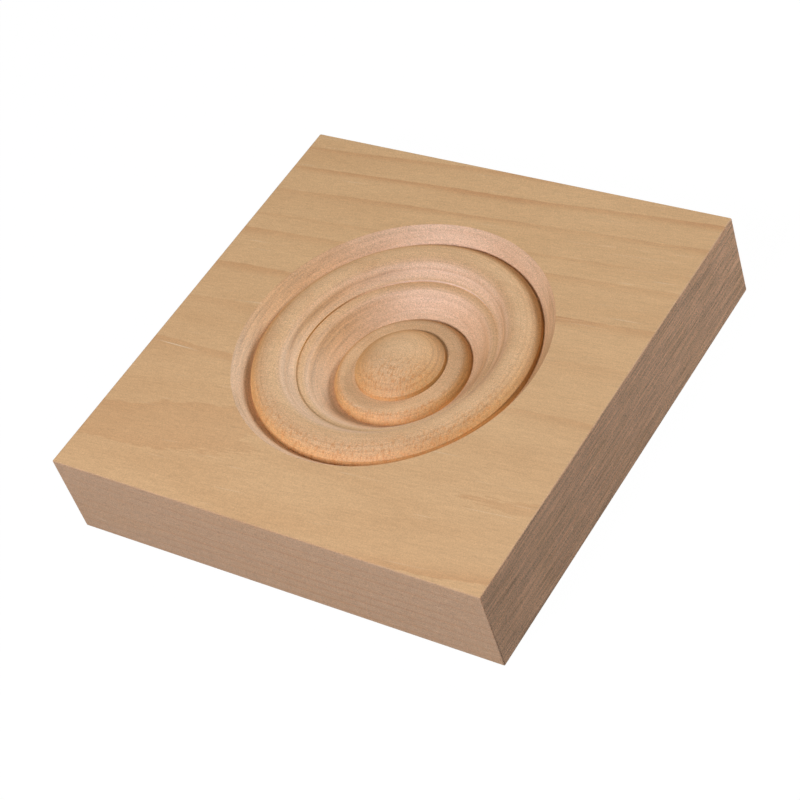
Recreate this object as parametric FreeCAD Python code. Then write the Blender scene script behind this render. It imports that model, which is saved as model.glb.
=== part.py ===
# Corner rosette block for door and window casing: one square of wood with a turned rosette sunk in its face.
# Millimetres. The origin is the middle of the flat back, +Z points out of the turned face, the grain runs along X.
import FreeCAD, Part
import math
import os

# Blank
block_length = 95.25
block_width = 95.25
block_thickness = 18.8
arris_ease = 0.25

# Turned rosette, member by member from its middle out. A width runs along the radius, a rise or drop along the axis.
button_radius = 8.8
button_rise = 3.3
button_quirk_width = 0.2
button_quirk_drop = 0.8
ring_inner_width = 2.3
ring_inner_drop = 0.1
ring_outer_width = 2.25
ring_rise = 1.9
bowl_width = 6.1
bowl_drop = 4.85
bowl_shoulder_radius = 2.75
bowl_hollow_radius = 12.0
step_height = 0.45
sweep_width = 4.4
sweep_drop = 3.0
sweep_shoulder_radius = 3.5
sweep_hollow_radius = 3.5
bead_width = 4.1
bead_drop = 1.75
bead_quirk_width = 0.25
bead_quirk_drop = 1.05
bevel_width = 2.95
bevel_depth = 3.5


def circle_meeting(centre_a, reach_a, centre_b, reach_b):
    """The point at both distances from two centres, on the left of the way from the first to the second."""
    along = centre_b.sub(centre_a)
    apart = along.Length
    forward = (apart ** 2 + reach_a ** 2 - reach_b ** 2) / (2 * apart)
    aside = math.sqrt(reach_a ** 2 - forward ** 2)
    along.normalize()
    left = FreeCAD.Vector(-along.z, 0, along.x)
    return centre_a + along * forward + left * aside


def arc_about(centre, start, end):
    """The short arc about a centre from start to end."""
    middle = (start - centre) + (end - centre)
    middle.normalize()
    return Part.Arc(start, centre + middle * (start - centre).Length, end).toShape()


def level_arc(crest, foot):
    """The arc that is level at its crest and comes down to its foot."""
    fall = crest.z - foot.z
    radius = ((crest.x - foot.x) ** 2 + fall ** 2) / (2 * fall)
    return arc_about(crest - FreeCAD.Vector(0, 0, radius), crest, foot)


def ogee(crest, shoulder_radius, hollow_radius, foot):
    """A round shoulder, level at its crest, that turns into a hollow and ends at a foot nearer the axis."""
    shoulder_centre = crest - FreeCAD.Vector(0, 0, shoulder_radius)
    hollow_centre = circle_meeting(foot, hollow_radius, shoulder_centre, shoulder_radius + hollow_radius)
    out = hollow_centre - shoulder_centre
    out.normalize()
    turn = shoulder_centre + out * shoulder_radius
    return [arc_about(shoulder_centre, crest, turn), arc_about(hollow_centre, turn, foot)]


# Corners of the turned profile, from the rim in the face down to the middle
groove_radius = button_radius + button_quirk_width
ring_crest_radius = groove_radius + ring_inner_width
ring_foot_radius = ring_crest_radius + ring_outer_width
step_radius = ring_foot_radius + bowl_width
bead_crest_radius = step_radius + sweep_width
bead_edge_radius = bead_crest_radius + bead_width
crease_radius = bead_edge_radius + bead_quirk_width
rim_radius = crease_radius + bevel_width

rim = FreeCAD.Vector(rim_radius, 0, block_thickness)
crease = FreeCAD.Vector(crease_radius, 0, rim.z - bevel_depth)
bead_edge = FreeCAD.Vector(bead_edge_radius, 0, crease.z + bead_quirk_drop)
bead_crest = FreeCAD.Vector(bead_crest_radius, 0, bead_edge.z + bead_drop)
step_top = FreeCAD.Vector(step_radius, 0, bead_crest.z - sweep_drop)
step_bottom = FreeCAD.Vector(step_radius, 0, step_top.z - step_height)
ring_foot = FreeCAD.Vector(ring_foot_radius, 0, step_bottom.z - bowl_drop)
ring_crest = FreeCAD.Vector(ring_crest_radius, 0, ring_foot.z + ring_rise)
groove = FreeCAD.Vector(groove_radius, 0, ring_crest.z - ring_inner_drop)
button_edge = FreeCAD.Vector(button_radius, 0, groove.z + button_quirk_drop)
apex = FreeCAD.Vector(0, 0, button_edge.z + button_rise)

profile = [Part.LineSegment(rim, crease).toShape()]
profile.append(Part.LineSegment(crease, bead_edge).toShape())
profile.append(level_arc(bead_crest, bead_edge))
profile.extend(ogee(bead_crest, sweep_shoulder_radius, sweep_hollow_radius, step_top))
profile.append(Part.LineSegment(step_top, step_bottom).toShape())
profile.extend(ogee(step_bottom, bowl_shoulder_radius, bowl_hollow_radius, ring_foot))
profile.append(level_arc(ring_crest, ring_foot))
profile.append(level_arc(ring_crest, groove))
profile.append(Part.LineSegment(groove, button_edge).toShape())
profile.append(level_arc(apex, button_edge))

# The cutter's section is closed above the face, so that the rim is cut clean through it
cutter_clearance = 2.0
axis_top = FreeCAD.Vector(0, 0, block_thickness + cutter_clearance)
rim_top = FreeCAD.Vector(rim_radius, 0, block_thickness + cutter_clearance)
profile.append(Part.LineSegment(apex, axis_top).toShape())
profile.append(Part.LineSegment(axis_top, rim_top).toShape())
profile.append(Part.LineSegment(rim_top, rim).toShape())

section = Part.Face(Part.Wire(Part.__sortEdges__(profile)))
turned_away = section.revolve(FreeCAD.Vector(0, 0, 0), FreeCAD.Vector(0, 0, 1), 360)

corner = FreeCAD.Vector(-block_length / 2, -block_width / 2, 0)
blank = Part.makeBox(block_length, block_width, block_thickness, corner)
blank = blank.makeChamfer(arris_ease, blank.Edges)
rosette_block = blank.cut(turned_away)

os.makedirs("parts", exist_ok=True)
rosette_block.exportStep("parts/rosette_block.step")
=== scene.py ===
# Corner rosette block in sanded hard maple, on a pale studio floor.
# Metres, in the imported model's frame: the back lies on z = 0, the turned face looks up.
# The grain runs along X.
import math

import bmesh
import bpy
from mathutils import Matrix, Quaternion, Vector


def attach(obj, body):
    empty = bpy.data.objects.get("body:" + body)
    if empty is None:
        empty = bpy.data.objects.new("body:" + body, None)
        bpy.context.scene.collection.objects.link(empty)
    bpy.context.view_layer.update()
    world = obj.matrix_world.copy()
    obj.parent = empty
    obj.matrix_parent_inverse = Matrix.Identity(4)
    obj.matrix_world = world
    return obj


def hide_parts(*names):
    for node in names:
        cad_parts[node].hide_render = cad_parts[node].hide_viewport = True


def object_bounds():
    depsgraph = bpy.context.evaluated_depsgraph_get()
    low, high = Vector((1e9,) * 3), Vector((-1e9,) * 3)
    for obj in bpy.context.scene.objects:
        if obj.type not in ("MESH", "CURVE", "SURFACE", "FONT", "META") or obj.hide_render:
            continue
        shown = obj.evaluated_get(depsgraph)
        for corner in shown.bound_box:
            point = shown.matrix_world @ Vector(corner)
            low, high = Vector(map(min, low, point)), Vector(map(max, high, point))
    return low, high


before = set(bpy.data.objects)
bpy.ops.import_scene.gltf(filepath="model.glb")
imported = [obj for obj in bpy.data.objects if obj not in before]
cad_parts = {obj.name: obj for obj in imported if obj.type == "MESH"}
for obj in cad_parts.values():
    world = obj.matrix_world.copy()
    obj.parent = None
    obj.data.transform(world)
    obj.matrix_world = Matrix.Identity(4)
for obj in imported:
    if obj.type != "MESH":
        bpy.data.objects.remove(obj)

bl_info = {
    "name": "Corner rosette block",
    "version": (1, 0, 0),
    "blender": (4, 5, 0),
    "location": "3D View > Sidebar > Rosette",
    "description": "Turns a corner rosette block in maple and sets a pale stage round it",
    "category": "Add Mesh",
}

MM = 0.001
NODE = "rosette_block"
BODY = "root"
CAD_LOW, CAD_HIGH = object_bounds()
# The camera's sensor, in millimetres
SENSOR_WIDTH = 36
# Steps of the full spin, and the turn of one step of the profile's arcs
SPIN_STEPS = 360
ARC_STEP = math.radians(4)
# Angles between two faces from which their edge is shaded sharp, or is an arris
SHARP_FROM = math.radians(20)
ARRIS_FROM = math.radians(80)
# How near two points are merged, and how far a point may stray from the rim or side that it lies on
MERGE_WITHIN = 0.0001 * MM
SLACK = 0.01 * MM
# Order of the block's two materials
SANDED, TURNED = 0, 1
# Places of the two colours among a Mix node's inputs
UNDER, OVER = 6, 7


def linear(hex_colour):
    """An sRGB hex colour as linear red, green, blue and alpha."""
    shares = [int(hex_colour[place:place + 2], 16) / 255 for place in (0, 2, 4)]
    return [s / 12.92 if s <= 0.04045 else ((s + 0.055) / 1.055) ** 2.4 for s in shares] + [1.0]


def length(label, size, words):
    """A length property, in metres."""
    return bpy.props.FloatProperty(
        name=label, description=words, default=size, min=0, unit="LENGTH", precision=5)


def cell(label, size, words):
    """A size or place in three directions, in metres."""
    return bpy.props.FloatVectorProperty(
        name=label, description=words, default=size, unit="LENGTH", precision=5)


def colour(label, hex_colour, words):
    """A colour property, written as sRGB hex and kept as linear light."""
    return bpy.props.FloatVectorProperty(
        name=label, description=words, default=linear(hex_colour), size=4, min=0, max=1, subtype="COLOR")


def angles(label, azimuth, elevation, words):
    """A direction: two angles, given in degrees."""
    return bpy.props.FloatVectorProperty(
        name=label, description=words, size=2, subtype="EULER",
        default=(math.radians(azimuth), math.radians(elevation)))


def watts(label, power, words):
    """A lamp's power."""
    return bpy.props.FloatProperty(name=label, description=words, default=power, min=0, unit="POWER")


class RosetteSizes(bpy.types.PropertyGroup):
    """Sizes of the blank and of each turned member, from the rim in"""

    block_length: length("Length", CAD_HIGH.x - CAD_LOW.x, "Side of the block along the grain")
    block_width: length("Width", CAD_HIGH.y - CAD_LOW.y, "Side of the block across the grain")
    block_thickness: length("Thickness", CAD_HIGH.z - CAD_LOW.z, "Back to face")
    arris_ease: length("Arris ease", 0.25 * MM, "How much the sharp edges are sanded off")
    bevel_width: length("Bevel width", 2.95 * MM, "Rim to crease, along the radius")
    bevel_depth: length("Bevel depth", 3.5 * MM, "Face to crease")
    bead_quirk_width: length("Bead quirk width", 0.25 * MM, "Crease to the bead's edge")
    bead_quirk_drop: length("Bead quirk drop", 1.05 * MM, "Bead's edge to the crease, downwards")
    bead_width: length("Bead width", 4.1 * MM, "Bead's edge to its crest")
    bead_drop: length("Bead drop", 1.75 * MM, "Bead's crest to its edge, downwards")
    sweep_width: length("Sweep width", 4.4 * MM, "Bead's crest to the step")
    sweep_drop: length("Sweep drop", 3.0 * MM, "Bead's crest to the top of the step, downwards")
    sweep_shoulder_radius: length("Sweep shoulder", 3.5 * MM, "Radius of the sweep's round shoulder")
    sweep_hollow_radius: length("Sweep hollow", 3.5 * MM, "Radius of the sweep's hollow")
    step_height: length("Step", 0.45 * MM, "Height of the small upright step")
    bowl_width: length("Bowl width", 6.1 * MM, "Step to the foot of the ring")
    bowl_drop: length("Bowl drop", 4.85 * MM, "Foot of the step to the foot of the ring, downwards")
    bowl_shoulder_radius: length("Bowl shoulder", 2.75 * MM, "Radius of the bowl's round shoulder")
    bowl_hollow_radius: length("Bowl hollow", 12.0 * MM, "Radius of the bowl's hollow")
    ring_outer_width: length("Ring flank", 2.25 * MM, "Foot of the ring to its crest")
    ring_rise: length("Ring rise", 1.9 * MM, "Foot of the ring to its crest, upwards")
    ring_inner_width: length("Ring inside", 2.3 * MM, "Ring's crest to the groove round the button")
    ring_inner_drop: length("Ring inner drop", 0.1 * MM, "Ring's crest to the groove, downwards")
    button_quirk_width: length("Button quirk width", 0.2 * MM, "Groove to the button's edge")
    button_quirk_drop: length("Button quirk drop", 0.8 * MM, "Button's edge to the groove, downwards")
    button_radius: length("Button radius", 8.8 * MM, "Axis to the button's edge")
    button_rise: length("Button rise", 3.3 * MM, "Button's edge to its top")


class MapleColours(bpy.types.PropertyGroup):
    """Colours of the maple"""

    sanded: colour("Sanded", "D4AB7D", "Face, planed and sanded along the grain")
    sawn_side: colour("Sawn side", "BE9A79", "Sides along the grain, as the saw left them")
    # Partly the end grain's own colour and partly painted light: the sawn end is made lighter than the face,
    # standing in for more light on the ends
    sawn_end: colour("Sawn end", "E4B28C", "Ends of the fibres, sawn across")
    turned: colour("Turned", "D9B085", "Level parts of the rosette")
    # Painted sheen: the inward slopes of the rosette are paler than its level parts, where light catches them
    turned_in_sheen: colour("Turned in", "E6BF9E", "Slopes of the rosette that look inwards, with open fibres")
    # Painted shade: the outward slopes are darker and warmer than the inward ones, the shaded copy of the
    # turned wood
    turned_out_shade: colour("Turned out", "D7A46D", "Slopes of the rosette that look outwards, rubbed by the tool")
    # Painted shade: steep outward walls of the rosette are darkened where its walls stand in shadow. The same
    # colour draws the tool's fine marks
    painted_shade_and_tool_marks: colour("Burnished", "A06A3A", "Steep walls of the rosette, rubbed by the tool's heel")
    # Painted highlight: steep inward walls of the rosette are pale where light falls on them
    painted_highlight: colour("Opened", "F6DCC6", "Steep walls of the rosette that look inwards, with torn pale fibres")
    turned_end: colour("Turned end", "C29050", "Ends of the fibres, cut by the turning")
    cloud: colour("Cloud", "C19365", "Broad darker stripes in the wood")
    late_wood: colour("Late wood", "B06C38", "Thin dark line that ends each year's growth")
    ray: colour("Ray", "C98A4E", "Flecks of the rays, which run from the heart to the bark")
    rubbed: colour("Rubbed", "E8D2B2", "Pale streaks where the sanding has rubbed the fibres")


class MapleGrain(bpy.types.PropertyGroup):
    """Sizes of the pattern in the wood. A cell is one patch's size along the grain, across it and upwards"""

    slope: bpy.props.FloatProperty(
        name="Slope of grain", description="Turn of the fibres from the block's side, seen from above",
        default=math.radians(5), subtype="ANGLE")
    dip: bpy.props.FloatProperty(
        name="Dip of grain", description="Tilt of the fibres from the block's face",
        default=math.radians(0.0728), subtype="ANGLE")
    heart: cell("Heart", (0, -30 * MM, 220 * MM), "A point on the heart of the tree, above the face")
    year_ends: bpy.props.FloatVectorProperty(
        name="Year ends", description="How far out each year's growth ends, from the first ring in the face",
        size=7, unit="LENGTH", precision=5,
        default=[end * MM for end in (0, 1.0, 2.6, 4.45, 6.75, 7.95, 10.1)])
    wander_cell: cell("Wander cell", (45 * MM, 9 * MM, 9 * MM), "Patch over which a ring strays to one side")
    wander: length("Wander", 0.25 * MM, "How far a ring strays")
    ragged: length("Ragged", 0.1 * MM, "How far single bundles of fibres step out of a ring")
    fade_cell: cell("Fade cell", (32 * MM, 12 * MM, 12 * MM), "Patch over which the dark lines fade")
    # Real pores are under 0.1 mm wide and fibres finer still: both cells are drawn coarser, so that they show
    fibre_cell: cell("Fibre cell", (3 * MM, 0.3 * MM, 0.3 * MM), "Bundle of fibres")
    pore_cell: cell("Pore cell", (0.22 * MM, 0.22 * MM, 0.22 * MM), "Pores and torn fibres")
    ray_cell: cell("Ray cell", (0.32 * MM, 1.1 * MM, 1.6 * MM), "Group of rays")
    cloud_cell: cell("Cloud cell", (30 * MM, 6 * MM, 6 * MM), "Broad darker stripe")
    streak_cell: cell("Streak cell", (12 * MM, 0.5 * MM, 0.5 * MM), "Pale rubbed streak")
    ray_side: bpy.props.FloatVectorProperty(
        name="Ray side", description="Direction across the rays, which lean a little",
        default=(0.25, -0.88, 0.4), subtype="DIRECTION")
    layer_cell: cell("Layer cell", (6 * MM, 10 * MM, 0.4 * MM), "Layers of growth, seen across the ends")
    scuff_place: cell("Scuff place", (-41.3 * MM, -14.2 * MM, CAD_HIGH.z), "Middle of the pale scratch")
    scuff_size: cell("Scuff size", (5.6 * MM, 0.16 * MM, 0.5 * MM), "Half of the scratch, each way")
    mark_pitch: length("Mark pitch", 0.5 * MM, "Radius from one of the tool's marks to the next")
    relief: length("Relief", 0.03 * MM, "Height of the raised fibres")


class StageSettings(bpy.types.PropertyGroup):
    """Camera, lamps and floor"""

    camera_place: bpy.props.FloatVectorProperty(
        name="Camera place", description="Where the camera stands",
        default=(0.22775, -0.22089, 0.30615), unit="LENGTH")
    camera_aim: bpy.props.FloatVectorProperty(
        name="Camera aim", description="Point on the face in the middle of the picture",
        default=(0.01003, -0.01286, CAD_HIGH.z), unit="LENGTH")
    camera_roll: bpy.props.FloatProperty(
        name="Camera roll", description="Turn of the camera about its own axis",
        default=math.radians(20.534), subtype="ANGLE")
    lens: bpy.props.FloatProperty(
        name="Lens", description="Focal length on a 36 mm sensor", default=103.24, unit="CAMERA")
    key_direction: angles("Key direction", 268, 44, "Where the key light stands, round from +X and up")
    key_power: watts("Key power", 2.25, "Power of the key light")
    key_tint: colour("Key tint", "F4F5FF", "Colour of the key light")
    top_direction: angles("Top light direction", 120, 65, "Where the light above the block stands")
    top_power: watts("Top light power", 0.32, "Power of the top light")
    top_tint: colour("Top light tint", "FFFADC", "Colour of the top light")
    right_direction: angles("Right light direction", 62, 20, "Where the light on the block's right stands")
    right_power: watts("Right light power", 1.2, "Power of the right light")
    right_tint: colour("Right light tint", "FFFFFD", "Colour of the right light")
    far_direction: angles("Far light direction", 74, 14, "Where the low light behind the block stands")
    far_power: watts("Far light power", 0.9, "Power of the far light")
    far_tint: colour("Far light tint", "CEECFF", "Colour of the far light")
    lamp_size: length("Lamp size", 0.13, "Diameter of each lamp")
    lamp_distance: length("Lamp distance", 0.5, "Lamps to the block")
    sky_strength: bpy.props.FloatProperty(
        name="Sky", description="Strength of the soft light all round", default=0.03)
    floor_size: length("Floor", 4.0, "Side of the floor")
    floor_gap: length("Floor gap", 0.1 * MM, "Block to floor, so that the two never lie in one plane")
    floor_tint: colour("Floor tint", "707070", "Colour of the floor's paper, as it lights the block")
    floor_glow: bpy.props.FloatProperty(
        name="Floor glow", description="Brightness that the camera sees in the floor, where 1 is white",
        default=1.1, min=0)
    floor_glow_share: bpy.props.FloatProperty(
        name="Floor glow share", description="Part of that glow in what the camera sees, the rest is paper",
        default=0.9, min=0, max=1, subtype="FACTOR")


def profile_point(radius, height):
    """A point of the profile, in the plane that the rosette is spun from."""
    return Vector((radius, 0.0, height))


def circle_meeting(centre_a, reach_a, centre_b, reach_b):
    """The point at both distances from two centres, on the left of the way from the first to the second."""
    along = centre_b - centre_a
    apart = along.length
    forward = (apart ** 2 + reach_a ** 2 - reach_b ** 2) / (2 * apart)
    aside = math.sqrt(reach_a ** 2 - forward ** 2)
    along.normalize()
    return centre_a + along * forward + Vector((-along.z, 0, along.x)) * aside


class Cutter:
    """Draws the turned profile into a bmesh, stroke by stroke, from a first point."""

    def __init__(self, mesh, start):
        self.mesh = mesh
        self.tip = bmesh.ops.create_vert(mesh, co=start)["vert"][0]

    def line_to(self, end):
        """A straight stroke."""
        extruded = bmesh.ops.extrude_vert_indiv(self.mesh, verts=[self.tip])
        self.tip = extruded["verts"][0]
        self.tip.co = end

    def arc_to(self, centre, end):
        """A round stroke about a centre, the short way."""
        first, last = self.tip.co - centre, end - centre
        turn = math.atan2(last.z, last.x) - math.atan2(first.z, first.x)
        turn = (turn + math.pi) % math.tau - math.pi
        spun = bmesh.ops.spin(
            self.mesh, geom=[self.tip], cent=centre, axis=(0, -1, 0), angle=turn,
            steps=max(2, math.ceil(abs(turn) / ARC_STEP)))
        self.tip = next(item for item in spun["geom_last"] if isinstance(item, bmesh.types.BMVert))
        self.tip.co = end

    def level_arc_to(self, crest, end):
        """An arc that is level at its crest, which is the tip or the end."""
        foot = end if end.z < crest.z else self.tip.co
        fall = crest.z - foot.z
        radius = ((crest.x - foot.x) ** 2 + fall ** 2) / (2 * fall)
        self.arc_to(crest - profile_point(0, radius), end)

    def ogee_to(self, shoulder_radius, hollow_radius, foot):
        """A round shoulder, level at the tip, that turns into a hollow and ends at a foot nearer the axis."""
        shoulder_centre = self.tip.co - profile_point(0, shoulder_radius)
        hollow_centre = circle_meeting(foot, hollow_radius, shoulder_centre, shoulder_radius + hollow_radius)
        turn = shoulder_centre + (hollow_centre - shoulder_centre).normalized() * shoulder_radius
        self.arc_to(shoulder_centre, turn)
        self.arc_to(hollow_centre, foot)


def draw_profile(mesh, sizes):
    """The turned profile, from the rim in the face to the top of the button. Gives back the rim's radius."""
    groove_radius = sizes.button_radius + sizes.button_quirk_width
    ring_crest_radius = groove_radius + sizes.ring_inner_width
    ring_foot_radius = ring_crest_radius + sizes.ring_outer_width
    step_radius = ring_foot_radius + sizes.bowl_width
    bead_crest_radius = step_radius + sizes.sweep_width
    bead_edge_radius = bead_crest_radius + sizes.bead_width
    crease_radius = bead_edge_radius + sizes.bead_quirk_width
    rim = profile_point(crease_radius + sizes.bevel_width, sizes.block_thickness)
    crease = profile_point(crease_radius, rim.z - sizes.bevel_depth)
    bead_edge = profile_point(bead_edge_radius, crease.z + sizes.bead_quirk_drop)
    bead_crest = profile_point(bead_crest_radius, bead_edge.z + sizes.bead_drop)
    step_top = profile_point(step_radius, bead_crest.z - sizes.sweep_drop)
    step_bottom = profile_point(step_radius, step_top.z - sizes.step_height)
    ring_foot = profile_point(ring_foot_radius, step_bottom.z - sizes.bowl_drop)
    ring_crest = profile_point(ring_crest_radius, ring_foot.z + sizes.ring_rise)
    groove = profile_point(groove_radius, ring_crest.z - sizes.ring_inner_drop)
    button_edge = profile_point(sizes.button_radius, groove.z + sizes.button_quirk_drop)
    apex = profile_point(0, button_edge.z + sizes.button_rise)

    cutter = Cutter(mesh, rim)
    cutter.line_to(crease)
    cutter.line_to(bead_edge)
    cutter.level_arc_to(bead_crest, bead_crest)
    cutter.ogee_to(sizes.sweep_shoulder_radius, sizes.sweep_hollow_radius, step_top)
    cutter.line_to(step_bottom)
    cutter.ogee_to(sizes.bowl_shoulder_radius, sizes.bowl_hollow_radius, ring_foot)
    cutter.level_arc_to(ring_crest, ring_crest)
    cutter.level_arc_to(ring_crest, groove)
    cutter.line_to(button_edge)
    cutter.level_arc_to(apex, apex)
    return rim.x


def on_a_side(vert, sizes):
    """Whether a point lies on one of the block's four sides."""
    along, across = abs(vert.co.x), abs(vert.co.y)
    return along > sizes.block_length / 2 - SLACK or across > sizes.block_width / 2 - SLACK


def turn_block(sizes):
    """The block as one closed mesh: the spun rosette, the flat face round it, the edges and the back."""
    mesh = bmesh.new()
    rim_radius = draw_profile(mesh, sizes)
    bmesh.ops.spin(
        mesh, geom=mesh.verts[:] + mesh.edges[:], cent=(0, 0, 0), axis=(0, 0, 1), angle=math.tau,
        steps=SPIN_STEPS, use_merge=True)
    bmesh.ops.remove_doubles(mesh, verts=mesh.verts[:], dist=MERGE_WITHIN)

    # The flat face runs out from the rim, the sides run down from its edges, and the back closes them
    rim_edges = [edge for edge in mesh.edges if edge.is_boundary]
    face_edges = bmesh.ops.extrude_edge_only(mesh, edges=rim_edges)["geom"]
    outline = [item for item in face_edges if isinstance(item, bmesh.types.BMVert)]
    for point in outline:
        reach = max(abs(point.co.x), abs(point.co.y))
        point.co.x *= sizes.block_length / 2 / reach
        point.co.y *= sizes.block_width / 2 / reach
    outer_edges = [item for item in face_edges if isinstance(item, bmesh.types.BMEdge)]
    side_edges = bmesh.ops.extrude_edge_only(mesh, edges=outer_edges)["geom"]
    feet = [item for item in side_edges if isinstance(item, bmesh.types.BMVert)]
    bmesh.ops.translate(mesh, verts=feet, vec=(0, 0, -sizes.block_thickness))
    back_edges = [item for item in side_edges if isinstance(item, bmesh.types.BMEdge)]
    bmesh.ops.contextual_create(mesh, geom=back_edges)

    for face in mesh.faces:
        reach = max(math.hypot(vert.co.x, vert.co.y) for vert in face.verts)
        face.material_index = TURNED if reach < rim_radius + SLACK else SANDED

    bmesh.ops.recalc_face_normals(mesh, faces=mesh.faces[:])
    arrises = [edge for edge in mesh.edges
               if edge.calc_face_angle(0) > ARRIS_FROM
               and all(on_a_side(vert, sizes) for vert in edge.verts)]
    bmesh.ops.bevel(
        mesh, geom=arrises, offset=sizes.arris_ease, offset_type="OFFSET", segments=2, profile=0.5,
        affect="EDGES", material=-1)
    return mesh


def add_node(tree, kind, inputs=None, **settings):
    """Adds a node with its settings, and fills its inputs with values or with links from other nodes."""
    node = tree.nodes.new(kind)
    for key, value in settings.items():
        setattr(node, key, value)
    for key, value in (inputs or {}).items():
        if isinstance(value, bpy.types.Node):
            value = next(socket for socket in value.outputs if socket.enabled)
        if isinstance(value, bpy.types.NodeSocket):
            tree.links.new(value, node.inputs[key])
        else:
            node.inputs[key].default_value = value
    return node


def new_material(name):
    """An empty node material."""
    material = bpy.data.materials.new(name)
    material.use_nodes = True
    material.node_tree.nodes.clear()
    return material


def patches(tree, place, cell_size, detail):
    """A soft pattern in the wood, with patches of a real size."""
    scaled = add_node(tree, "ShaderNodeMapping", {"Vector": place, "Scale": [1 / size for size in cell_size]})
    return add_node(tree, "ShaderNodeTexNoise", {"Vector": scaled, "Scale": 1.0, "Detail": detail})


def growth_rings(tree, place, fibre, grain, face_height):
    """How late in its year the wood grew, from 0 in spring to 1 in autumn, and a number for the year."""
    from_heart = add_node(tree, "ShaderNodeVectorMath", {0: place, 1: grain.heart}, operation="SUBTRACT")
    across = add_node(tree, "ShaderNodeVectorMath", {0: from_heart, 1: (0, 1, 1)}, operation="MULTIPLY")
    radius = add_node(tree, "ShaderNodeVectorMath", {0: across}, operation="LENGTH")
    first_ring = grain.heart[2] - face_height + grain.wander + grain.ragged / 2
    depth = add_node(tree, "ShaderNodeMath", {0: radius, 1: first_ring}, operation="SUBTRACT")
    stray = patches(tree, place, grain.wander_cell, 2.0)
    depth = add_node(tree, "ShaderNodeMath", {
        0: stray, 1: 2 * grain.wander, 2: depth}, operation="MULTIPLY_ADD")
    depth = add_node(tree, "ShaderNodeMath", {
        0: fibre, 1: grain.ragged, 2: depth}, operation="MULTIPLY_ADD")

    reach = grain.year_ends[-1]
    share = add_node(tree, "ShaderNodeMath", {0: depth, 1: reach}, operation="DIVIDE")
    years = add_node(tree, "ShaderNodeFloatCurve", {"Value": share})
    curve = years.mapping.curves[0]
    last = len(grain.year_ends) - 1
    for number in range(1, last):
        curve.points.new(grain.year_ends[number] / reach, number / last)
    for point in curve.points:
        point.handle_type = "VECTOR"
    years.mapping.extend = "EXTRAPOLATED"
    years.mapping.use_clip = False
    years.mapping.update()
    age = add_node(tree, "ShaderNodeMath", {0: years, 1: last}, operation="MULTIPLY")
    season = add_node(tree, "ShaderNodeMath", {0: age}, operation="FRACT")
    year = add_node(tree, "ShaderNodeMath", {0: age}, operation="FLOOR")
    return season, year


def late_wood(tree, place, fibre, grain, face_height, line, band):
    """How dark the end of each year's growth shows: a thin line with a soft band before it."""
    season, year = growth_rings(tree, place, fibre, grain, face_height)
    dry_year = add_node(tree, "ShaderNodeTexWhiteNoise", {"W": year}, noise_dimensions="1D")
    strength = add_node(tree, "ShaderNodeMath", {0: dry_year, 1: 0.6, 2: 0.4}, operation="MULTIPLY_ADD")
    fade = add_node(tree, "ShaderNodeMapRange", {
        "Value": patches(tree, place, grain.fade_cell, 1.0),
        "From Min": 0.35, "From Max": 0.65, "To Min": 0.4})
    strength = add_node(tree, "ShaderNodeMath", {0: strength, 1: fade}, operation="MULTIPLY")
    soft = add_node(tree, "ShaderNodeMapRange", {
        "Value": season, "From Min": 0.4, "From Max": 1.0, "To Max": band}, interpolation_type="SMOOTHSTEP")
    thin = add_node(tree, "ShaderNodeMapRange", {
        "Value": season, "From Min": 0.7, "From Max": 0.98, "To Max": line}, interpolation_type="SMOOTHSTEP")
    dark = add_node(tree, "ShaderNodeMath", {0: soft, 1: thin}, operation="ADD")
    return add_node(tree, "ShaderNodeMath", {0: dark, 1: strength}, operation="MULTIPLY")


class CutFace:
    """How the cut lies in the wood at each point, as nodes. All but the radius give 0 to 1."""

    def __init__(self, tree, source, grain):
        normal = source.outputs["Normal"]
        facing = add_node(tree, "ShaderNodeSeparateXYZ", {0: normal})
        upwards = facing.outputs["Z"]
        self.leaning = add_node(tree, "ShaderNodeMapRange", {
            "Value": upwards, "From Min": 0.98, "From Max": 0.75}, interpolation_type="SMOOTHSTEP")
        self.steep = add_node(tree, "ShaderNodeMapRange", {
            "Value": upwards, "From Min": 0.7, "From Max": 0.2}, interpolation_type="SMOOTHSTEP")

        # Through the ends of the fibres, or beside the rays
        endwise = facing.outputs["X"]
        self.through = add_node(tree, "ShaderNodeMath", {0: endwise, 1: endwise}, operation="MULTIPLY")
        aside = add_node(tree, "ShaderNodeVectorMath", {
            0: normal, 1: grain.ray_side}, operation="DOT_PRODUCT")
        self.beside = add_node(tree, "ShaderNodeMapRange", {
            "Value": aside, "From Min": 0.3, "From Max": 0.75}, interpolation_type="SMOOTHSTEP")

        # Looking away from the rosette's axis, or towards it
        from_axis = add_node(tree, "ShaderNodeVectorMath", {
            0: source.outputs["Object"], 1: (1, 1, 0)}, operation="MULTIPLY")
        self.radius = add_node(tree, "ShaderNodeVectorMath", {0: from_axis}, operation="LENGTH")
        away = add_node(tree, "ShaderNodeVectorMath", {0: from_axis}, operation="NORMALIZE")
        outwards = add_node(tree, "ShaderNodeVectorMath", {0: normal, 1: away}, operation="DOT_PRODUCT")
        self.outer = add_node(tree, "ShaderNodeMapRange", {
            "Value": outwards, "From Min": -0.4, "From Max": 0.4}, interpolation_type="SMOOTHSTEP")
        self.inner = add_node(tree, "ShaderNodeMath", {0: 1.0, 1: self.outer}, operation="SUBTRACT")


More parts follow.
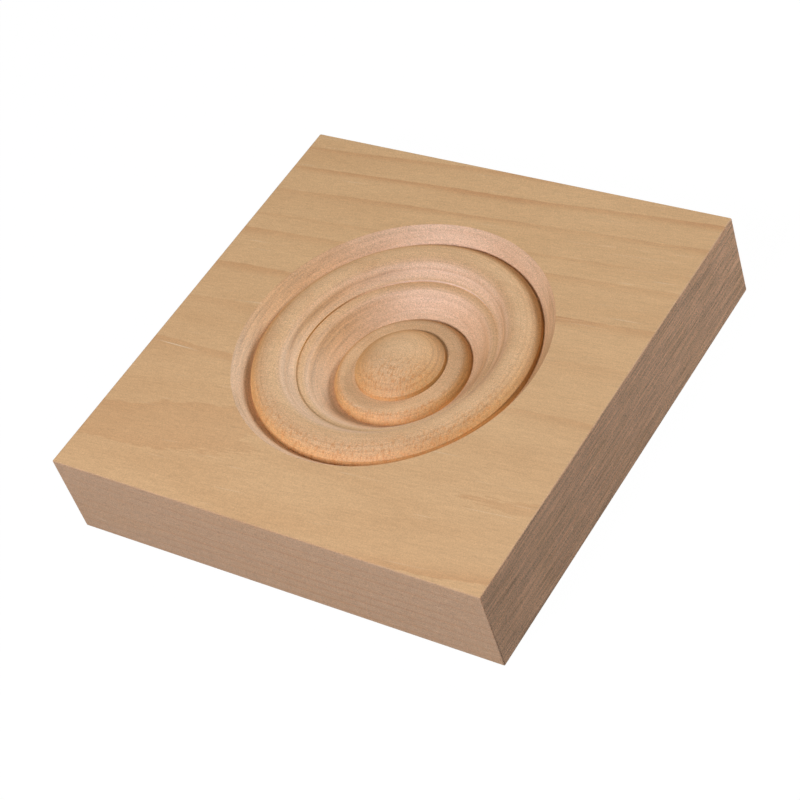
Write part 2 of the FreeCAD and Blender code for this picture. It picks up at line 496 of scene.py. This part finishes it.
def cut_colour(tree, cut, colours, level, inner_slope, outer_slope, upright, ends):
    """The wood's colour by its cut: level, on a slope, up a steep wall or through the ends of the fibres. In
    the turned wood the slopes and walls carry painted light: a painted sheen on inward slopes, a painted
    highlight on steep inward walls, painted shade on outward slopes and on steep outward walls.
    """
    # In the turned wood the inward slopes carry a painted sheen and the outward ones painted shade
    slope = add_node(tree, "ShaderNodeMix", {
        "Factor": cut.outer, UNDER: inner_slope, OVER: outer_slope}, data_type="RGBA")
    tint = add_node(tree, "ShaderNodeMix", {
        "Factor": cut.leaning, UNDER: level, OVER: slope}, data_type="RGBA")
    # Painted highlight on steep inward walls
    painted_highlight = add_node(tree, "ShaderNodeMath", {0: cut.steep, 1: cut.inner}, operation="MULTIPLY")
    tint = add_node(tree, "ShaderNodeMix", {
        "Factor": painted_highlight, UNDER: tint, OVER: colours.painted_highlight}, data_type="RGBA")
    # Painted shade on steep outward walls through the fibres
    painted_wall_shade = add_node(tree, "ShaderNodeMath", {0: cut.through, 1: cut.outer}, operation="MULTIPLY")
    painted_wall_shade = add_node(tree, "ShaderNodeMath", {0: painted_wall_shade, 1: cut.steep}, operation="MULTIPLY")
    tint = add_node(tree, "ShaderNodeMix", {
        "Factor": painted_wall_shade, UNDER: tint, OVER: upright}, data_type="RGBA")
    return add_node(tree, "ShaderNodeMix", {
        "Factor": cut.through, UNDER: tint, OVER: ends}, data_type="RGBA")


def growth_over(tree, tint, along, fibre, colours, grain, face_height, line, band):
    """Broad darker stripes and the dark end of each year's growth, over a colour."""
    cloud = add_node(tree, "ShaderNodeMapRange", {
        "Value": patches(tree, along, grain.cloud_cell, 3.0),
        "From Min": 0.4, "From Max": 0.75, "To Max": 0.3})
    tint = add_node(tree, "ShaderNodeMix", {
        "Factor": cloud, UNDER: tint, OVER: colours.cloud}, data_type="RGBA")
    late = late_wood(tree, along, fibre, grain, face_height, line, band)
    return add_node(tree, "ShaderNodeMix", {
        "Factor": late, UNDER: tint, OVER: colours.late_wood}, data_type="RGBA")


def flecks_over(tree, tint, along, cut, colours, grain, fleck):
    """The rays, over a colour. They stand upright here, and show as short flecks in a cut beside them."""
    ray = add_node(tree, "ShaderNodeMapRange", {
        "Value": patches(tree, along, grain.ray_cell, 1.0),
        "From Min": 0.5, "From Max": 0.65, "To Max": fleck})
    ray = add_node(tree, "ShaderNodeMath", {0: ray, 1: cut.beside}, operation="MULTIPLY")
    ray = add_node(tree, "ShaderNodeMath", {0: ray, 1: cut.outer}, operation="MULTIPLY")
    return add_node(tree, "ShaderNodeMix", {
        "Factor": ray, UNDER: tint, OVER: colours.ray}, data_type="RGBA")


def rubbing_over(tree, tint, along, source, colours, grain):
    """Pale streaks of rubbed fibres and one pale scratch near the edge of the face, over a colour."""
    streak = add_node(tree, "ShaderNodeMapRange", {
        "Value": patches(tree, along, grain.streak_cell, 1.0),
        "From Min": 0.7, "From Max": 0.82, "To Max": 0.3})
    tint = add_node(tree, "ShaderNodeMix", {
        "Factor": streak, UNDER: tint, OVER: colours.rubbed}, data_type="RGBA")
    scuff = add_node(tree, "ShaderNodeMapping", {
        "Vector": source.outputs["Object"], "Location": grain.scuff_place, "Scale": grain.scuff_size},
        vector_type="TEXTURE")
    scuff = add_node(tree, "ShaderNodeVectorMath", {0: scuff}, operation="LENGTH")
    scuff = add_node(tree, "ShaderNodeMapRange", {
        "Value": scuff, "From Min": 1.0, "From Max": 0.4, "To Max": 0.6})
    return add_node(tree, "ShaderNodeMix", {
        "Factor": scuff, UNDER: tint, OVER: colours.rubbed}, data_type="RGBA")


def tool_marks_over(tree, tint, cut, colours, grain, marks):
    """The turning tool's fine rings about the axis, over a colour."""
    turns = add_node(tree, "ShaderNodeMath", {0: cut.radius, 1: grain.mark_pitch}, operation="DIVIDE")
    ridges = add_node(tree, "ShaderNodeTexNoise", {
        "W": turns, "Scale": 1.0, "Detail": 1.0}, noise_dimensions="1D")
    ridges = add_node(tree, "ShaderNodeMapRange", {
        "Value": ridges, "From Min": 0.5, "From Max": 0.75, "To Max": marks})
    return add_node(tree, "ShaderNodeMix", {
        "Factor": ridges, UNDER: tint, OVER: colours.painted_shade_and_tool_marks}, data_type="RGBA")


def maple(name, colours, grain, face_height, level, inner_slope, outer_slope, upright, ends,
          line, band, fleck, speckle, end_speckle, marks):
    """Hard maple as a solid pattern, so that each cut shows the grain that it would show in the real wood."""
    material = new_material(name)
    tree = material.node_tree
    source = add_node(tree, "ShaderNodeTexCoord")
    along = add_node(tree, "ShaderNodeMapping", {
        "Vector": source.outputs["Object"], "Rotation": (0, grain.dip, -grain.slope)})
    cut = CutFace(tree, source, grain)
    fibre = patches(tree, along, grain.fibre_cell, 2.0)
    pores = patches(tree, along, grain.pore_cell, 1.0)

    tint = cut_colour(tree, cut, colours, level, inner_slope, outer_slope, upright, ends)
    tint = growth_over(tree, tint, along, fibre, colours, grain, face_height, line, band)
    tint = flecks_over(tree, tint, along, cut, colours, grain, fleck)
    tint = rubbing_over(tree, tint, along, source, colours, grain)
    tint = tool_marks_over(tree, tint, cut, colours, grain, marks)

    # Light and dark along the fibres, in the pores and in the layers across the ends.
    # The pores' speckle has its own strength where the cut is steep or goes through the fibres.
    across = add_node(tree, "ShaderNodeMath", {0: cut.steep, 1: 0.4}, operation="MULTIPLY")
    across = add_node(tree, "ShaderNodeMath", {0: cut.through, 1: 0.6, 2: across}, operation="MULTIPLY_ADD")
    torn = add_node(tree, "ShaderNodeMapRange", {"Value": across, "To Min": speckle, "To Max": end_speckle})
    dots = add_node(tree, "ShaderNodeMath", {0: pores, 1: 0.5}, operation="SUBTRACT")
    light = add_node(tree, "ShaderNodeMath", {0: fibre, 1: 0.3, 2: 0.85}, operation="MULTIPLY_ADD")
    light = add_node(tree, "ShaderNodeMath", {0: dots, 1: torn, 2: light}, operation="MULTIPLY_ADD")
    layers = add_node(tree, "ShaderNodeMapRange", {
        "Value": patches(tree, along, grain.layer_cell, 2.0), "From Min": 0.25, "From Max": 0.75,
        "To Min": -0.35, "To Max": 0.35})
    light = add_node(tree, "ShaderNodeMath", {0: layers, 1: cut.through, 2: light}, operation="MULTIPLY_ADD")
    tint = add_node(tree, "ShaderNodeHueSaturation", {"Value": light, "Color": tint})

    height = add_node(tree, "ShaderNodeMath", {0: pores, 1: torn, 2: fibre}, operation="MULTIPLY_ADD")
    raised = add_node(tree, "ShaderNodeBump", {"Strength": 0.5, "Distance": grain.relief, "Height": height})
    wood = add_node(tree, "ShaderNodeBsdfPrincipled", {
        "Base Color": tint, "Roughness": 0.6, "IOR": 1.5, "Normal": raised})
    add_node(tree, "ShaderNodeOutputMaterial", {"Surface": wood})
    return material


class ROSETTE_OT_block(bpy.types.Operator):
    """Turn the rosette block and give it its maple"""

    bl_idname = "rosette.block"
    bl_label = "Rosette block"

    def execute(self, context):
        sizes = context.scene.rosette_sizes
        colours = context.scene.rosette_colours
        grain = context.scene.rosette_grain
        turned = turn_block(sizes)
        data = bpy.data.meshes.new("rosette_block_turned")
        turned.to_mesh(data)
        turned.free()
        face_height = sizes.block_thickness
        # Planed and sanded along the grain: even and silky, with soft growth lines. The sawn sides are duller
        data.materials.append(maple(
            "Sanded hard maple", colours, grain, face_height, level=colours.sanded,
            inner_slope=colours.sawn_side, outer_slope=colours.sawn_side, upright=colours.sawn_side,
            ends=colours.sawn_end,
            line=0.35, band=0.08, fleck=0.1, speckle=0.5, end_speckle=1.7, marks=0.0))
        # Turned across the grain: speckled with torn fibres and ray flecks, with painted shade on steep
        # outward walls and outward slopes, and a painted highlight and sheen on the inward ones
        data.materials.append(maple(
            "Turned hard maple", colours, grain, face_height, level=colours.turned,
            inner_slope=colours.turned_in_sheen, outer_slope=colours.turned_out_shade, upright=colours.painted_shade_and_tool_marks,
            ends=colours.turned_end,
            line=0.06, band=0.08, fleck=0.7, speckle=0.95, end_speckle=0.6, marks=0.2))
        data.shade_smooth()
        data.set_sharp_from_angle(angle=SHARP_FROM)
        piece = bpy.data.objects.new("rosette_block_turned", data)
        context.collection.objects.link(piece)
        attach(piece, BODY)
        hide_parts(NODE)
        return {"FINISHED"}


def white_paper(stage):
    """Matt white floor. The camera sees it near white, with the block's soft shadow still on it."""
    material = new_material("Matt white paper")
    tree = material.node_tree
    paper = add_node(tree, "ShaderNodeBsdfDiffuse", {"Color": stage.floor_tint})
    glow = add_node(tree, "ShaderNodeEmission", {"Color": linear("FFFFFF"), "Strength": stage.floor_glow})
    seen = add_node(tree, "ShaderNodeMixShader", {"Fac": stage.floor_glow_share, 1: paper, 2: glow})
    # Looked at straight, in a reflection or through something clear
    path = add_node(tree, "ShaderNodeLightPath")
    looked_at = add_node(tree, "ShaderNodeMath", {
        0: path.outputs["Is Camera Ray"], 1: path.outputs["Is Glossy Ray"]}, operation="MAXIMUM")
    looked_at = add_node(tree, "ShaderNodeMath", {
        0: looked_at, 1: path.outputs["Is Transmission Ray"]}, operation="MAXIMUM")
    surface = add_node(tree, "ShaderNodeMixShader", {"Fac": looked_at, 1: paper, 2: seen})
    add_node(tree, "ShaderNodeOutputMaterial", {"Surface": surface})
    return material


def light_the_room(scene, strength):
    """An even white sky for light, and plain white for the camera."""
    world = bpy.data.worlds.new("White studio")
    world.use_nodes = True
    scene.world = world
    tree = world.node_tree
    tree.nodes.clear()
    path = add_node(tree, "ShaderNodeLightPath")
    light = add_node(tree, "ShaderNodeBackground", {"Color": linear("FFFFFF"), "Strength": strength})
    white = add_node(tree, "ShaderNodeBackground", {"Color": linear("FFFFFF"), "Strength": 1.0})
    surface = add_node(tree, "ShaderNodeMixShader", {
        "Fac": path.outputs["Is Camera Ray"], 1: light, 2: white})
    add_node(tree, "ShaderNodeOutputWorld", {"Surface": surface})


def hang_lamp(scene, name, stage, direction, power, tint):
    """A round soft lamp that looks at the block."""
    lamp = bpy.data.lights.new(name, "AREA")
    lamp.shape = "DISK"
    lamp.size = stage.lamp_size
    lamp.energy = power
    lamp.color = tint[:3]
    hung = bpy.data.objects.new(name, lamp)
    azimuth, elevation = direction
    flat = math.cos(elevation)
    towards_lamp = Vector((flat * math.cos(azimuth), flat * math.sin(azimuth), math.sin(elevation)))
    hung.location = towards_lamp * stage.lamp_distance
    hung.rotation_mode = "QUATERNION"
    hung.rotation_quaternion = towards_lamp.to_track_quat("Z", "Y")
    scene.collection.objects.link(hung)


class ROSETTE_OT_stage(bpy.types.Operator):
    """Lay the floor, hang the lamps and stand the camera"""

    bl_idname = "rosette.stage"
    bl_label = "Studio stage"

    def execute(self, context):
        scene = context.scene
        stage = scene.rosette_stage

        paper = bmesh.new()
        bmesh.ops.create_grid(
            paper, x_segments=1, y_segments=1, size=stage.floor_size / 2,
            matrix=Matrix.Translation((0, 0, -stage.floor_gap)))
        data = bpy.data.meshes.new("studio_floor")
        paper.to_mesh(data)
        paper.free()
        data.materials.append(white_paper(stage))
        floor = bpy.data.objects.new("studio_floor", data)
        scene.collection.objects.link(floor)

        light_the_room(scene, stage.sky_strength)
        hang_lamp(scene, "key_softbox", stage, stage.key_direction, stage.key_power, stage.key_tint)
        hang_lamp(scene, "top_softbox", stage, stage.top_direction, stage.top_power, stage.top_tint)
        hang_lamp(scene, "right_softbox", stage, stage.right_direction, stage.right_power, stage.right_tint)
        hang_lamp(scene, "far_softbox", stage, stage.far_direction, stage.far_power, stage.far_tint)

        view = bpy.data.cameras.new("photo_camera")
        view.sensor_width = SENSOR_WIDTH
        view.lens = stage.lens
        camera = bpy.data.objects.new("photo_camera", view)
        place, aim = Vector(stage.camera_place), Vector(stage.camera_aim)
        camera.location = place
        camera.rotation_mode = "QUATERNION"
        level = (place - aim).to_track_quat("Z", "Y")
        camera.rotation_quaternion = level @ Quaternion((0, 0, 1), -stage.camera_roll)
        scene.collection.objects.link(camera)
        scene.camera = camera
        scene.view_settings.view_transform = "Standard"
        return {"FINISHED"}


class ROSETTE_PT_panel(bpy.types.Panel):
    """Rosette block panel"""

    bl_idname = "ROSETTE_PT_panel"
    bl_label = "Rosette block"
    bl_space_type = "VIEW_3D"
    bl_region_type = "UI"
    bl_category = "Rosette"

    def draw(self, context):
        scene = context.scene
        for group in (scene.rosette_sizes, scene.rosette_colours, scene.rosette_grain, scene.rosette_stage):
            box = self.layout.box()
            for name in group.bl_rna.properties.keys():
                if name not in ("rna_type", "name"):
                    box.prop(group, name)
        self.layout.operator(ROSETTE_OT_block.bl_idname)
        self.layout.operator(ROSETTE_OT_stage.bl_idname)


CLASSES = (
    RosetteSizes, MapleColours, MapleGrain, StageSettings,
    ROSETTE_OT_block, ROSETTE_OT_stage, ROSETTE_PT_panel)


def register():
    """Adds the classes and their settings to Blender."""
    for each in CLASSES:
        bpy.utils.register_class(each)
    bpy.types.Scene.rosette_sizes = bpy.props.PointerProperty(type=RosetteSizes)
    bpy.types.Scene.rosette_colours = bpy.props.PointerProperty(type=MapleColours)
    bpy.types.Scene.rosette_grain = bpy.props.PointerProperty(type=MapleGrain)
    bpy.types.Scene.rosette_stage = bpy.props.PointerProperty(type=StageSettings)


def unregister():
    """Takes them away again."""
    del bpy.types.Scene.rosette_stage
    del bpy.types.Scene.rosette_grain
    del bpy.types.Scene.rosette_colours
    del bpy.types.Scene.rosette_sizes
    for each in reversed(CLASSES):
        bpy.utils.unregister_class(each)


def main():
    """Builds the block and its stage."""
    register()
    bpy.ops.rosette.block()
    bpy.ops.rosette.stage()


if __name__ == "__main__":
    main()
